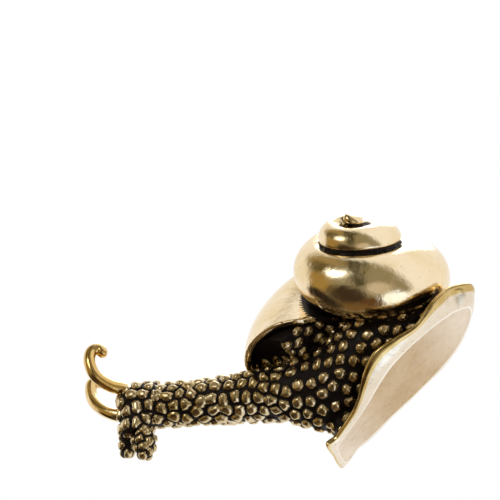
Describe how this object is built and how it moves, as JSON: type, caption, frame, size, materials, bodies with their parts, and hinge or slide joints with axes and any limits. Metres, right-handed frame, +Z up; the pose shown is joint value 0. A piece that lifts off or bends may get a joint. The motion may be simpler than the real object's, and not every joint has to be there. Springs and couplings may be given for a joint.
{
  "type": "snail figurine",
  "caption": "Small cast brass snail with a pebbled neck and head raised, a coiled smooth shell and a leaf-shaped foot with a waved rim.",
  "frame": {"origin": "middle of the flat sole, on the surface that the figurine stands on", "axes": "+X towards the head, +Y towards the snail's left side, +Z up"},
  "size_m": [0.0483, 0.0241, 0.0358],
  "materials": {
    "foot_brass": "tumbled and lightly pitted, polished on the rim's edge",
    "skin_brass": "black patina in the grooves, rubbed bright on the raised pebbles",
    "wire_brass": "polished rod",
    "shell_brass": "polished and slightly hammered, black patina in the seams between the whorls"
  },
  "bodies": {
    "root": {"foot": "foot_brass", "trunk": "skin_brass", "neck": "skin_brass", "head": "skin_brass", "mouth_lobe_left": "skin_brass", "mouth_lobe_right": "skin_brass", "tentacle_left": "wire_brass", "tentacle_right": "wire_brass", "shell": "shell_brass"}
  },
  "joints": []
}
